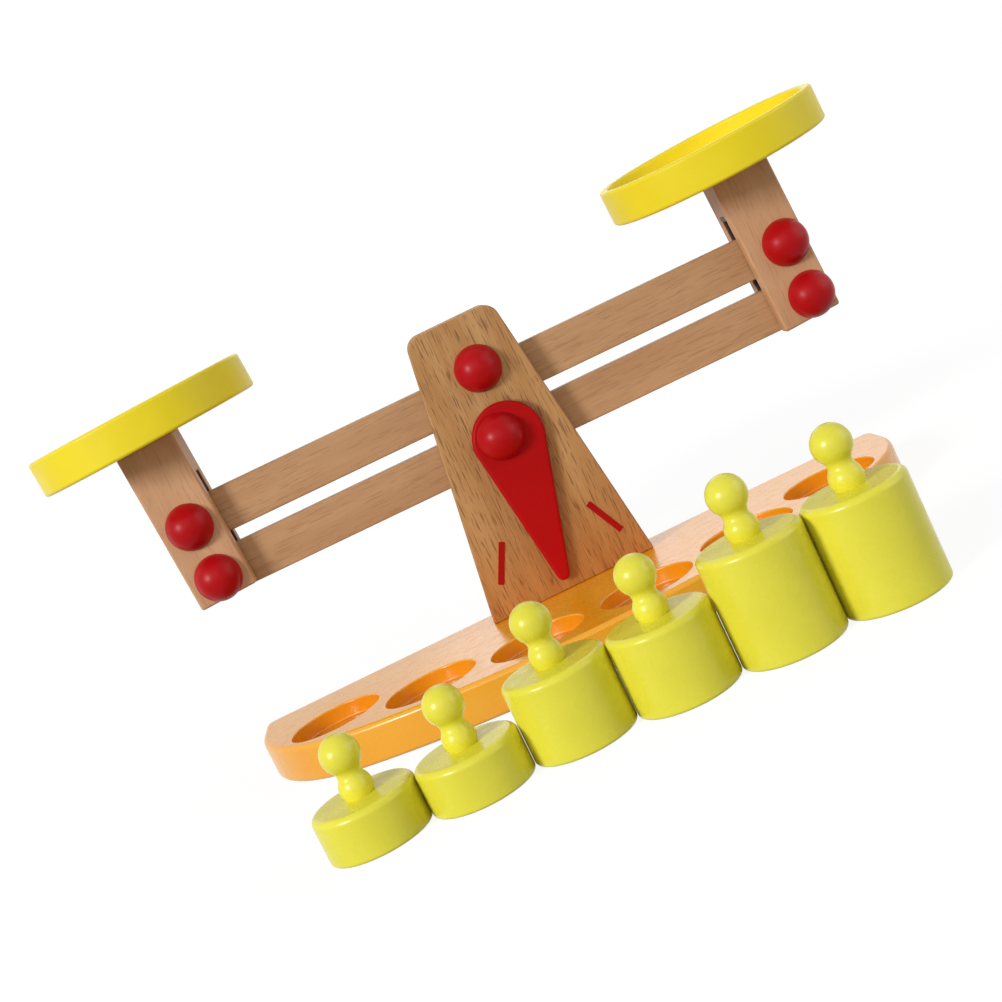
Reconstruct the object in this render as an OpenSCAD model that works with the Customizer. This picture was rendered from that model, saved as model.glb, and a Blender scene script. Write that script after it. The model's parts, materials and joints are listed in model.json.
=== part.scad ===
// Wooden balance scale toy. A bowed base with round sockets carries a two-board upright. Two beams
// cross the upright and rock together. Forked posts at their ends carry round pans, a pointer shows
// the tilt, and a row of knobbed weights stands in front.
// Origin: on the table, under the plane of the beams, at the middle of the upright.
// +X is to the right, +Y to the back, +Z up. Millimetres.

/* [Base] */
// Length of the base from end to end
base_l = 313; // [300:1:340]
// Depth of the base at its middle
base_d = 120; // [112:1:140]
// How far the base reaches behind the upright
base_over = 2; // [0:0.5:6]
// Thickness of the base board
base_t = 17; // [14:0.5:24]
// Radius of the bowed front edge
bow_r = 250; // [236:1:300]
// Radius of the two front corners
front_corner_r = 80; // [60:1:85]
// Radius of the two back corners
back_corner_r = 5; // [2:0.5:10]

/* [Sockets] */
// Distance from one socket to the next
socket_pitch = 50.2; // [48:0.2:53]
// Room around a weight in its socket
socket_clear = 1; // [0.5:0.1:2]
// Depth of a socket
socket_depth = 7; // [4:0.5:8]
// Wood left between the sockets and the bowed front edge
socket_rim = 8; // [5:0.5:12]

/* [Upright] */
// Thickness of each of the two panels
panel_t = 8; // [6:0.5:10]
// Height of the panels above the base
panel_h = 132; // [126:1:150]
// Width of the panels at the foot
panel_foot_w = 80; // [70:1:100]
// Width of the panels at the top
panel_top_w = 42; // [36:1:56]
// Radius of the panels' top corners
panel_corner_r = 7; // [3:0.5:10]
// Height of the block between the panels
spacer_h = 30; // [20:1:34]
// Width of the block between the panels
spacer_w = 60; // [50:1:64]

/* [Beams] */
// Height of a beam
beam_h = 20; // [16:0.5:22]
// Thickness of a beam
beam_t = 7.6; // [5:0.1:9]
// Distance from the pivot to the pin at each end
arm = 146.5; // [138:0.5:150]
// Length of beam beyond the end pin
beam_end = 9.5; // [8:0.5:10]
// Height of the pivot above the base
pivot_h = 75; // [72:0.5:80]
// Height of the pivot above the line of the end pins
pivot_rise = 1.7; // [0.5:0.1:3]
// How far the balance stands to the right of the upright's middle
balance_x = 5.5; // [-4:0.5:6]
// Distance between the two pins of a post, and so between the beams
pin_pitch = 25.8; // [25:0.1:30]
// Height of the guide pin above the point that the upper beam turns about
guide_rise = 6.7; // [5:0.1:8]
// How far the guide pin stands to the right of the upright's middle
guide_x = 3.2; // [0:0.1:6]
// How far the beams tip down to the right as they stand
rest_tilt = 0.3; // [0:0.1:2]
// How far the beams rock each way
swing = 22.5; // [15:0.5:22.5]

/* [Posts] */
// Width of a post
post_w = 27.5; // [24:0.5:34]
// Height of a post, from its foot to the pan
post_h = 77; // [70:0.5:90]
// How far the pins sit outward of a post's middle
pin_off = 2; // [0:0.5:3]
// How far the pins of both posts sit to the right of that
pin_right = 2; // [0:0.5:3]
// Room above the upper pin in a post's slot
slot_over = 20; // [20:0.5:24]
// How far the posts lean to the left as they stand
post_lean = 2.7; // [0:0.1:4]

/* [Pans] */
// Outside diameter of a pan
pan_d = 104; // [90:1:110]
// Height of a pan
pan_h = 16.5; // [14:0.5:24]
// Thickness of a pan's wall
pan_wall = 4; // [3:0.5:6]
// Thickness of a pan's floor
pan_floor = 6; // [5:0.5:8]
// Rounding of a pan's edges
pan_edge_r = 1.5; // [0.5:0.1:1.5]
// How far a pan sits from its post's middle towards the upright
pan_inset = 4; // [0:0.5:6]
// How far both pans sit to the left of that
pan_left = 1.5; // [0:0.5:4]
// How far the left pan tips towards the front
left_pan_tip = 0.4; // [0:0.1:4]
// How far the right pan tips towards the front
right_pan_tip = 3.5; // [0:0.1:4]
// Diameter of the dowel between a post and its pan
pan_dowel_d = 8; // [6:0.5:10]
// Length of that dowel in the post
pan_dowel_in_post = 14; // [8:1:16]
// Length of that dowel in the pan
pan_dowel_in_pan = 3.5; // [2:0.5:4]

/* [Pins and caps] */
// Diameter of the pins and of the axle
pin_d = 6; // [4:0.5:7]
// Diameter of a red cap
cap_d = 21.6; // [16:0.2:24]
// Height of a red cap
cap_h = 9.4; // [8:0.2:10]
// Depth of a pin in its cap
cap_grip = 5; // [3:0.5:6]

/* [Pointer and marks] */
// Diameter of the pointer's round end
pointer_d = 33; // [28:0.5:36]
// Distance from the middle of the round end to the middle of the rounded tip
pointer_reach = 66; // [50:0.5:67]
// How far the round end sits to the left of the axle
pointer_left = 3.3; // [0:0.1:5]
// How far the round end sits below the axle
pointer_drop = 0.9; // [0:0.1:3]
// How far the pointer's cap sits to the left of the axle
pointer_cap_left = 6.5; // [0:0.1:7]
// How far the pointer's cap sits above the axle
pointer_cap_up = 1.3; // [0:0.1:3]
// Radius of the pointer's tip
pointer_tip_r = 3; // [2:0.5:4]
// Thickness of the pointer
pointer_t = 4; // [3:0.5:6]
// How far the pointer is set from square to the beam
pointer_set = 3.5; // [0:0.5:6]
// Angle of each mark from straight down, about the upright's middle at the pivot's height
tick_angle = 26.3; // [22:0.1:28]
// Distance from that point to the near end of the left mark
left_tick_start = 47; // [40:0.5:50]
// Distance from that point to the near end of the right mark
right_tick_start = 48.5; // [40:0.5:50]
// Length of a mark
tick_l = 19.5; // [10:0.5:20]
// Width of a mark
tick_w = 2.8; // [2:0.1:4]
// Thickness of the paint of a mark
tick_t = 0.3; // [0.2:0.1:0.4]

/* [Weights] */
// Diameter of a weight
weight_d = 40; // [34:0.5:41]
// Height of the two short weights, without the knob
short_h = 18; // [14:0.5:24]
// Height of the two middle weights, without the knob
middle_h = 30.5; // [24:0.5:36]
// Height of the two tall weights, without the knob
tall_h = 42.5; // [36:0.5:60]
// Rounding of a weight's top edge
weight_top_r = 2.6; // [1:0.1:4]
// Rounding of a weight's bottom edge
weight_foot_r = 1.2; // [0.5:0.1:3]
// Diameter of the knob's ball
knob_ball_d = 15.2; // [13:0.2:18]
// Height of the ball's middle above the weight
knob_ball_h = 16.3; // [16:0.1:19]
// Diameter of the knob's lower bead
knob_bead_d = 12.8; // [11:0.2:14]
// Height of the bead's middle above the weight
knob_bead_h = 3.4; // [3:0.1:5]
// Radius of the hollow between ball and bead
knob_neck_r = 3.4; // [3:0.1:6]
// Diameter of the knob's peg
peg_d = 6; // [4:0.5:8]
// Length of the knob's peg
peg_l = 10; // [6:0.5:12]
// Gap between neighbouring weights
row_gap = 0.15; // [0.1:0.05:6]
// Distance from the beams forward to the row of weights
row_y = 187; // [160:1:220]
// How far the row's middle stands to the left
row_x = 4.5; // [-20:0.5:20]
// How far the row is turned towards the front at its right end
row_turn = 2.3; // [0:0.1:6]
// How far each weight stands forward of the row's line
row_forward = [0, 0.5, -3, 0, 2.5, 1]; // [-8:0.5:8]

/* [Screws] */
// Diameter of a screw's shank
screw_d = 4; // [3:0.5:5]
// Diameter of a screw's head
screw_head_d = 8; // [7:0.5:10]
// Length of a screw
screw_l = 34; // [26:1:36]
// Depth of a screw's head below the underside
screw_sink = 1; // [0.5:0.5:2]
// Distance between the two screws
screw_pitch = 36; // [24:1:40]

/* [Fits] */
// Gap of a glued joint
glue_gap = 0.05; // [0.02:0.01:0.1]
// Gap around a pin that turns
run_gap = 0.08; // [0.05:0.01:0.1]
// Gap on each side of a beam in the upright and in a post
side_gap = 0.7; // [0.4:0.1:1.2]
// Gap between the guide pin and its notch at the ends of the rocking
guide_gap = 0.6; // [0.4:0.1:1.5]
// Gap behind the pointer and behind the axle's rear cap
face_gap = 0.8; // [0.6:0.1:1.5]
// Gap at the end of a pin, peg or dowel in its hole
end_gap = 0.4; // [0.2:0.1:0.8]

/* [Hidden] */
$fn = 72;
past = 1;
beech = "BurlyWood";
red = "FireBrick";
orange = "Orange";
yellow = "Gold";
lime = "YellowGreen";
steel = "Silver";
left = -1;
right = 1;
sides = [left, right];
side_names = ["left", "right"];
pin_r = pin_d / 2;
pan_r = pan_d / 2;
screw_r = screw_d / 2;
peg_r = peg_d / 2;

// Layers from front to back
layer_gap = beam_t + 2 * side_gap;
upright_t = layer_gap + 2 * panel_t;
face_y = upright_t / 2;

// Base outline
base_half = base_l / 2;
base_back = face_y + base_over;
bow_y = base_back - base_d + bow_r;
corner_x = base_half - front_corner_r;
// The corner arcs stand this far proud of the bow, so that the two cross cleanly
corner_proud = 0.05;
corner_reach = bow_r - front_corner_r + corner_proud;
corner_y = bow_y - sqrt(pow(corner_reach, 2) - pow(corner_x, 2));
bow_end = [corner_x, corner_y - bow_y] * base_l / corner_reach;

// Sockets
weight_heights = [short_h, short_h, middle_h, middle_h, tall_h, tall_h];
weight_n = len(weight_heights);
weight_r = weight_d / 2;
weight_step = weight_d + row_gap;
function row_step(i) = sqrt(pow(weight_step, 2) - pow(row_forward[i] - row_forward[i - 1], 2));
function row_at(i) = i == 0 ? 0 : row_at(i - 1) + row_step(i);
socket_r = weight_r + socket_clear;
socket_row_r = bow_r - socket_rim - socket_r;
socket_step = 2 * asin(socket_pitch / 2 / socket_row_r);

// Upright
panel_taper = atan((panel_foot_w - panel_top_w) / 2 / panel_h);
panel_arc_z = panel_h - panel_corner_r;
panel_arc_x = panel_foot_w / 2 - panel_arc_z * tan(panel_taper) - panel_corner_r / cos(panel_taper);
panel_side = panel_corner_r * [cos(panel_taper), sin(panel_taper)];

// Balance: pivot, the upper beam's turning point, and the pins of the posts
function turned(p, a) = [p[0] * cos(a) + p[2] * sin(a), p[1], p[2] * cos(a) - p[0] * sin(a)];
pivot = [balance_x, 0, base_t + pivot_h];
post_up = turned([0, 0, pin_pitch], -post_lean);
upper_turn = pivot + post_up;
guide = [guide_x, 0, upper_turn[2] + guide_rise];
post_foot = beam_h / 2;
post_top = post_h - post_foot;
// A post's middle, from its pins
function post_x(side) = -side * pin_off - pin_right;
function pan_tip(side) = side == left ? left_pan_tip : right_pan_tip;
function lower_pin(side) = pivot + turned([side * arm, 0, -pivot_rise], rest_tilt);
guide_reach = norm(guide - upper_turn);
guide_in_beam = turned(guide - upper_turn, -rest_tilt);
guide_angle = atan2(abs(guide_in_beam[0]), guide_in_beam[2]);
notch_half = 2 * guide_reach * sin(swing / 2) + pin_r + guide_gap;
notch_floor = guide_reach * cos(swing + guide_angle) - pin_r - guide_gap;

// Caps and knobs
cap_ball_r = (pow(cap_d / 2, 2) + pow(cap_h, 2)) / (2 * cap_h);
pin_end = cap_grip - end_gap;
pointer_y = face_y + face_gap + pointer_t;
knob_ball_r = knob_ball_d / 2;
knob_bead_r = knob_bead_d / 2;
knob_gap = knob_ball_h - knob_bead_h;
neck_from_bead = knob_bead_r + knob_neck_r;
neck_from_ball = knob_ball_r + knob_neck_r;
neck_up = (pow(neck_from_bead, 2) - pow(neck_from_ball, 2) + pow(knob_gap, 2)) / (2 * knob_gap);
neck_at = [sqrt(pow(neck_from_bead, 2) - pow(neck_up, 2)), knob_bead_h + neck_up];
screw_head_h = (screw_head_d - screw_d) / 2;

// Node names
function weight_name(i, piece) = str("weight_", i + 1, "_", piece);
weight_nodes = [for (i = [0 : weight_n - 1]) for (piece = ["body", "knob"]) weight_name(i, piece)];
side_pieces = ["post", "pan", "pan_dowel", "upper_pin", "lower_pin", "upper_front_cap", "upper_back_cap",
    "lower_front_cap", "lower_back_cap", "tick"];
side_nodes = [for (s = side_names) for (piece = side_pieces) str(s, "_", piece)];

// Places

module at_pivot() { translate(pivot) rotate([0, rest_tilt, 0]) children(); }

module at_upper_turn() { translate(upper_turn) rotate([0, rest_tilt, 0]) children(); }

// A post's own frame: its lower pin at the origin, its length along Z
module at_post(side) { translate(lower_pin(side)) rotate([0, -post_lean, 0]) children(); }

// A pan's own frame: the middle of its underside at the origin
module at_pan(side) {
    at_post(side)
        translate([post_x(side) - side * pan_inset - pan_left, 0, post_top])
            rotate([pan_tip(side), 0, 0])
                children();
}

module at_socket(i) {
    a = (i - (weight_n - 1) / 2) * socket_step;
    translate([socket_row_r * sin(a), bow_y - socket_row_r * cos(a), base_t - socket_depth]) children();
}

module at_weight(i) {
    x = row_at(i) - row_at(weight_n - 1) / 2;
    translate([-row_x, -row_y, 0]) rotate([0, 0, -row_turn]) translate([x, -row_forward[i], 0]) children();
}

// Shapes that repeat

// A round bar along Y
module bar_y(r, y0, y1) { translate([0, y1, 0]) rotate([90, 0, 0]) cylinder(r = r, h = y1 - y0); }

// A flat board that stands in the XZ plane, its outline given as a 2D child
module board(y0, y1) { translate([0, y1, 0]) rotate([90, 0, 0]) linear_extrude(y1 - y0) children(); }

// Half of a rounded section, for turning: a rectangle from the axis with round outer corners
module turned_section(r, h, foot_r, top_r) {
    translate([0, foot_r]) square([r, h - foot_r - top_r]);
    square([r - foot_r, foot_r + past]);
    translate([0, h - top_r - past]) square([r - top_r, top_r + past]);
    translate([r - foot_r, foot_r]) circle(foot_r);
    translate([r - top_r, h - top_r]) circle(top_r);
}

// The dome of a cap, flat on Z = 0
module cap_dome() {
    rotate_extrude()
        intersection() {
            translate([0, cap_h - cap_ball_r]) circle(cap_ball_r);
            square([cap_d, cap_h + past]);
        }
}

// A domed cap with a blind hole for its pin
module cap() {
    color(red)
    difference() {
        cap_dome();
        translate([0, 0, -past]) cylinder(r = pin_r + glue_gap, h = cap_grip + past);
    }
}

module front_cap(y) { translate([0, -y, 0]) rotate([90, 0, 0]) cap(); }

module back_cap(y) { translate([0, y, 0]) rotate([-90, 0, 0]) cap(); }

// Stand

// Everything behind the front: the straight ends and back, with small round back corners
module base_back_outline() {
    side_l = base_d + base_back;
    translate([-base_half, -base_d]) square([base_l, side_l - back_corner_r]);
    translate([back_corner_r - base_half, -base_d]) square([base_l - 2 * back_corner_r, side_l]);
    for (side = sides)
        translate([side * (base_half - back_corner_r), base_back - back_corner_r]) circle(back_corner_r);
}

// Everything within the front: the bow between the two corner discs, and the board behind them
module base_front_outline() {
    intersection() {
        translate([0, bow_y]) circle(bow_r);
        polygon([
            [-corner_x, base_d],
            [-corner_x, corner_y],
            [-corner_x - bow_end[0], corner_y + bow_end[1]],
            [corner_x + bow_end[0], corner_y + bow_end[1]],
            [corner_x, corner_y],
            [corner_x, base_d]]);
    }
    for (side = sides)
        translate([side * corner_x, corner_y]) circle(front_corner_r);
    translate([-base_half - past, corner_y]) square([base_l + 2 * past, base_d]);
}

module base_outline() {
    intersection() {
        base_back_outline();
        base_front_outline();
    }
}

module base() {
    color(orange)
    difference() {
        linear_extrude(base_t) base_outline();
        for (i = [0 : weight_n - 1])
            at_socket(i) cylinder(r = socket_r, h = socket_depth + past);
        for (side = sides)
            translate([side * screw_pitch / 2, 0, 0]) screw_hole();
    }
}

// The countersunk hole of one screw, from the underside of the base
module screw_hole() {
    head_r = screw_head_d / 2 + glue_gap;
    translate([0, 0, -past]) cylinder(r = head_r, h = screw_sink + past);
    translate([0, 0, screw_sink]) cylinder(r1 = head_r, r2 = screw_r + glue_gap, h = screw_head_h);
    cylinder(r = screw_r + glue_gap, h = base_t + past);
}

module base_screws() {
    color(steel)
    for (side = sides)
        translate([side * screw_pitch / 2, 0, screw_sink]) {
            cylinder(r1 = screw_head_d / 2, r2 = screw_r, h = screw_head_h);
            cylinder(r = screw_r, h = screw_l);
        }
}

module panel_outline() {
    polygon([
        [-panel_foot_w / 2, 0],
        [panel_foot_w / 2, 0],
        [panel_arc_x, panel_arc_z] + panel_side,
        [panel_arc_x, panel_h],
        [-panel_arc_x, panel_h],
        [-panel_arc_x - panel_side[0], panel_arc_z + panel_side[1]]]);
    for (side = sides)
        translate([side * panel_arc_x, panel_arc_z]) circle(panel_corner_r);
}

// One panel of the upright, from y0 to y1
module panel(y0, y1) {
    color(beech)
    difference() {
        translate([0, 0, base_t]) board(y0, y1) panel_outline();
        translate(pivot) bar_y(pin_r + run_gap, y0 - past, y1 + past);
        translate(guide) bar_y(pin_r + glue_gap, y0 - past, y1 + past);
    }
}

module front_panel() { panel(-face_y, -layer_gap / 2); }

module back_panel() { panel(layer_gap / 2, face_y); }

module panel_spacer() {
    color(beech)
    difference() {
        translate([-spacer_w / 2, -layer_gap / 2, base_t]) cube([spacer_w, layer_gap, spacer_h]);
        for (side = sides)
            translate([side * screw_pitch / 2, 0, 0])
                cylinder(r = screw_r + glue_gap, h = screw_sink + screw_l + end_gap);
    }
}

module guide_pin() {
    color(beech) translate(guide) bar_y(pin_r, -face_y - pin_end, face_y + pin_end);
}

module guide_front_cap() { translate(guide) front_cap(face_y); }

module guide_back_cap() { translate(guide) back_cap(face_y); }

// A painted mark on the front panel
module tick(side) {
    start = side == left ? left_tick_start : right_tick_start;
    color(red)
    translate([0, -face_y - tick_t, pivot[2]])
        rotate([0, -side * tick_angle, 0])
            translate([-tick_w / 2, 0, -start - tick_l])
                cube([tick_w, tick_t, tick_l]);
}

// Beams, axle and pointer

// A beam in its own frame: the point it turns about at the origin
module beam_blank() {
    difference() {
        translate([-arm - beam_end, -beam_t / 2, -pivot_rise - beam_h / 2])
            cube([2 * (arm + beam_end), beam_t, beam_h]);
        for (side = sides)
            translate([side * arm, 0, -pivot_rise]) bar_y(pin_r + run_gap, -beam_t, beam_t);
    }
}

module lower_beam() {
    color(beech)
    at_pivot()
        difference() {
            beam_blank();
            bar_y(pin_r + glue_gap, -beam_t, beam_t);
        }
}

// The upper beam has a notch in its top edge that straddles the guide pin
module upper_beam() {
    color(beech)
    at_upper_turn()
        difference() {
            beam_blank();
            translate([guide_in_beam[0] - notch_half, -beam_t, notch_floor])
                cube([2 * notch_half, 2 * beam_t, beam_h]);
        }
}

module pivot_axle() {
    front = pointer_y - end_gap;
    back = face_y + face_gap + pin_end;
    color(beech) at_pivot() bar_y(pin_r, -front, back);
}

// Drop outline: two circles and the straight sides that touch both
module pointer_outline() {
    head_r = pointer_d / 2;
    rise = (head_r - pointer_tip_r) / pointer_reach;
    run = sqrt(1 - rise * rise);
    circle(head_r);
    translate([0, -pointer_reach]) circle(pointer_tip_r);
    polygon([
        [-head_r * run, -head_r * rise],
        [-pointer_tip_r * run, -pointer_reach - pointer_tip_r * rise],
        [pointer_tip_r * run, -pointer_reach - pointer_tip_r * rise],
        [head_r * run, -head_r * rise]]);
}

module pointer() {
    color(red)
    at_pivot()
        difference() {
            translate([-pointer_left, 0, -pointer_drop])
                rotate([0, pointer_set, 0])
                    board(-pointer_y, pointer_t - pointer_y) pointer_outline();
            bar_y(pin_r + glue_gap, -pointer_y - past, pointer_t - pointer_y + past);
        }
}

// The pointer's cap is glued on its face and hides the end of the axle
module pointer_cap() {
    color(red)
    at_pivot()
        translate([-pointer_cap_left, -pointer_y, pointer_cap_up]) rotate([90, 0, 0]) cap_dome();
}

module axle_back_cap() { at_pivot() back_cap(face_y + face_gap); }

// Posts and pans

// A forked post, with its top cut to the pan's slope
module post(side) {
    color(beech)
    difference() {
        at_post(side)
            difference() {
                translate([post_x(side) - post_w / 2, -face_y, -post_foot])
                    cube([post_w, upright_t, post_h + post_w]);
                translate([post_x(side) - post_w, -layer_gap / 2, -post_foot - past])
                    cube([2 * post_w, layer_gap, post_foot + past + pin_pitch + slot_over]);
                for (up = [0, pin_pitch])
                    translate([0, 0, up]) bar_y(pin_r + glue_gap, -face_y - past, face_y + past);
            }
        at_pan(side) {
            translate([-pan_r, -pan_r, 0]) cube([pan_d, pan_d, post_h]);
            at_pan_dowel(side)
                translate([0, 0, -pan_dowel_in_post - end_gap])
                    cylinder(d = pan_dowel_d + 2 * glue_gap, h = pan_dowel_in_post + end_gap + past);
        }
    }
}

// In a pan's frame, the middle of its post
module at_pan_dowel(side) { translate([side * pan_inset + pan_left, 0, 0]) children(); }

module pan_section() {
    inner_r = pan_r - pan_wall;
    difference() {
        turned_section(pan_r, pan_h, pan_edge_r, pan_edge_r);
        translate([0, pan_floor]) square([inner_r - pan_edge_r, pan_h]);
        translate([0, pan_floor + pan_edge_r]) square([inner_r, pan_h]);
        translate([inner_r - pan_edge_r, pan_floor + pan_edge_r]) circle(pan_edge_r);
    }
}

module pan(side) {
    color(yellow)
    at_pan(side)
        difference() {
            rotate_extrude() pan_section();
            at_pan_dowel(side)
                translate([0, 0, -past])
                    cylinder(d = pan_dowel_d + 2 * glue_gap, h = past + pan_dowel_in_pan + end_gap);
        }
}

module pan_dowel(side) {
    color(beech)
    at_pan(side)
        at_pan_dowel(side)
            translate([0, 0, -pan_dowel_in_post])
                cylinder(d = pan_dowel_d, h = pan_dowel_in_post + pan_dowel_in_pan);
}

module post_pin(side, up) {
    color(beech)
    at_post(side) translate([0, 0, up]) bar_y(pin_r, -face_y - pin_end, face_y + pin_end);
}

module post_front_cap(side, up) { at_post(side) translate([0, 0, up]) front_cap(face_y); }

module post_back_cap(side, up) { at_post(side) translate([0, 0, up]) back_cap(face_y); }

// Weights

module weight_body(i) {
    h = weight_heights[i];
    color(lime)
    at_weight(i)
        difference() {
            rotate_extrude() turned_section(weight_r, h, weight_foot_r, weight_top_r);
            translate([0, 0, h - peg_l - end_gap])
                cylinder(r = peg_r + glue_gap, h = peg_l + end_gap + past);
        }
}

// Half section of a knob: a ball over a bead, with a round hollow that touches both
module knob_section() {
    ball_at = [0, knob_ball_h];
    bead_at = [0, knob_bead_h];
    intersection() {
        union() {
            translate(ball_at) circle(knob_ball_r);
            translate(bead_at) circle(knob_bead_r);
            difference() {
                polygon([
                    bead_at,
                    bead_at + (neck_at - bead_at) * knob_bead_r / neck_from_bead,
                    neck_at,
                    ball_at + (neck_at - ball_at) * knob_ball_r / neck_from_ball,
                    ball_at]);
                translate(neck_at) circle(knob_neck_r);
            }
        }
        square([knob_ball_d, knob_ball_h + knob_ball_d]);
    }
}

module weight_knob(i) {
    color(lime)
    at_weight(i)
        translate([0, 0, weight_heights[i]]) {
            rotate_extrude() knob_section();
            translate([0, 0, -peg_l]) cylinder(r = peg_r, h = peg_l + past);
        }
}

base();
front_panel();
back_panel();
panel_spacer();
base_screws();
guide_pin();
guide_front_cap();
guide_back_cap();
lower_beam();
upper_beam();
pivot_axle();
pointer();
pointer_cap();
axle_back_cap();
for (k = [0, 1]) {
    name = side_names[k];
    post(sides[k]);
    pan(sides[k]);
    pan_dowel(sides[k]);
    post_pin(sides[k], pin_pitch);
    post_pin(sides[k], 0);
    post_front_cap(sides[k], pin_pitch);
    post_back_cap(sides[k], pin_pitch);
    post_front_cap(sides[k], 0);
    post_back_cap(sides[k], 0);
    tick(sides[k]);
}
for (i = [0 : weight_n - 1]) {
    weight_body(i);
    weight_knob(i);
}
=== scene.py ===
"""The looks of a wooden balance scale toy: boards, turned pieces, lacquer, beech and a pale studio."""

import json
import math

import bmesh
import bpy
from mathutils import Matrix, Vector

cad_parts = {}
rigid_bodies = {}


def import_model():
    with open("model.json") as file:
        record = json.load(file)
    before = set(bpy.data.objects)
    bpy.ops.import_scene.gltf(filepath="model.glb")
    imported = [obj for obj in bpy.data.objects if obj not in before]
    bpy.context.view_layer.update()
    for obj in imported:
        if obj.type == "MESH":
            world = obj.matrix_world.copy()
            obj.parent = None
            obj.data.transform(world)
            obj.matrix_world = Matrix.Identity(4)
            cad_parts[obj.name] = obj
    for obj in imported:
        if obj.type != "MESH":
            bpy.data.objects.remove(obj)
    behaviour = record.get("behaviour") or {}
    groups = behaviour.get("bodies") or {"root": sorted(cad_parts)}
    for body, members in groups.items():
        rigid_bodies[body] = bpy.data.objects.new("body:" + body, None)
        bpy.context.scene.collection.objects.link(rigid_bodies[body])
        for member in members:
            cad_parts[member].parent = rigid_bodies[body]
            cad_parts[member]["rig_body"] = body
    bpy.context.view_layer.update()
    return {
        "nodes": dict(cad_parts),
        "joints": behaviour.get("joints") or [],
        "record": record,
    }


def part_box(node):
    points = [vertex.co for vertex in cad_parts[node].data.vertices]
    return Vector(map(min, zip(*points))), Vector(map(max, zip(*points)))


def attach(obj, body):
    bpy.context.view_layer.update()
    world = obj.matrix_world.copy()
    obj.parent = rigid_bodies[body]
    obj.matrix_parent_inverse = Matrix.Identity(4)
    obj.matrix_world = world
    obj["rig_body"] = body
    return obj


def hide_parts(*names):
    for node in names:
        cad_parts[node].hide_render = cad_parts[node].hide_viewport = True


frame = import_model()

# Frame: where the joints and the plain solids put the pieces, in metres
X = Vector((1, 0, 0))
Y = Vector((0, 1, 0))
Z = Vector((0, 0, 1))
SIDES = {"left": -1, "right": 1}
HINGES = {joint["name"]: joint for joint in frame["joints"] if joint["type"] == "hinge"}
HINGE_AT = {name: Vector(joint["pos_m"]) for name, joint in HINGES.items()}
SWING = math.radians(HINGES["beam_rock"]["range_deg"][1])
PIVOT = HINGE_AT["beam_rock"]
LOWER_PIN = {side: HINGE_AT[f"{side}_post_pivot"] for side in SIDES}
POST_RISE = HINGE_AT["upper_beam_pivot"] - LOWER_PIN["left"]
BEAM_RUN = LOWER_PIN["right"] - LOWER_PIN["left"]
POST_LEAN = math.atan2(-POST_RISE.x, POST_RISE.z)
REST_TILT = math.atan2(-BEAM_RUN.z, BEAM_RUN.x)
PIN_PITCH = POST_RISE.length
ARM = BEAM_RUN.length / 2
PIVOT_RISE = (PIVOT - (LOWER_PIN["left"] + LOWER_PIN["right"]) / 2).length
GUIDE_LO, GUIDE_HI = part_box("guide_front_cap")
GUIDE = Vector(((GUIDE_LO.x + GUIDE_HI.x) / 2, 0, (GUIDE_LO.z + GUIDE_HI.z) / 2))
BASE_LO, BASE_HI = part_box("base")
PANEL_LO, PANEL_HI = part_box("front_panel")
FACE_Y = -PANEL_LO.y
SLOT_Y = -PANEL_HI.y
OPENINGS = {opening["name"]: opening["box_m"] for opening in frame["record"]["physics"]["openings"]}
SOCKET_BOXES = [box for name, box in OPENINGS.items() if name.startswith("socket")]
SOCKET_MIDDLES = [((lo[0] + hi[0]) / 2, (lo[1] + hi[1]) / 2, 0) for lo, hi in SOCKET_BOXES]
WEIGHTS = range(1, 7)

# Sizes that the frame doesn't give, in metres

# Base, its sockets and the screws' holes
BOW_R = 0.250
FRONT_CORNER_R = 0.080
BACK_CORNER_R = 0.005
BASE_TOP_R = 0.0024
BASE_FOOT_R = 0.0015
SOCKET_R = 0.021
SOCKET_DEPTH = 0.007
SOCKET_RIM_R = 0.0007
SOCKET_FLOOR_R = 0.0008
SCREW_PITCH = 0.036
SCREW_HEAD_R = 0.00405
SCREW_SHANK_R = 0.00205
SCREW_SINK = 0.001

# Upright, edges of boards and beams
PANEL_TOP_W = 0.042
PANEL_CORNER_R = 0.007
BOARD_EDGE_R = 0.0009
BEAM_H = 0.020
BEAM_END = 0.0095
PIN_R = 0.003
PIN_PLAY = 0.00008
BORE_R = PIN_R + PIN_PLAY
GUIDE_PLAY = 0.0006

# Posts, each set off from its pins, with painted shade in the slot that reaches a little past its faces
POST_W = 0.0275
POST_FOOT = 0.010
POST_TOP = 0.067
POST_SLOT_TOP = 0.0458
POST_OFF = {"left": 0.0, "right": -0.004}
POST_EDGE_R = 0.0013
SLOT_EDGE = 0.0004

# Pans, each set in towards the upright, both a little to the left and tipped to the front
PAN_R = 0.052
PAN_H = 0.0165
PAN_WALL = 0.004
PAN_FLOOR = 0.006
PAN_EDGE_R = 0.0015
PAN_INSET = 0.004
PAN_LEFT = 0.0015
PAN_TIP = {"left": math.radians(0.4), "right": math.radians(3.5)}

# Caps, with the depth of the pin's hole
CAP_R = 0.0108
CAP_H = 0.0094
CAP_GRIP = 0.005
CAP_EDGE_R = 0.0004

# Pointer, its head a little off the axle, and the painted marks
POINTER_HEAD_R = 0.0165
POINTER_REACH = 0.066
POINTER_TIP_R = 0.003
POINTER_SET = math.radians(3.5)
POINTER_HEAD_AT = Vector((-0.0033, 0, -0.0009))
POINTER_EDGE_R = 0.0016
TICK_ANGLE = math.radians(26.3)
TICK_START = {"left": 0.0470, "right": 0.0485}
TICK_L = 0.0195
TICK_W = 0.0028
TICK_CORNER_R = 0.0005

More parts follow.
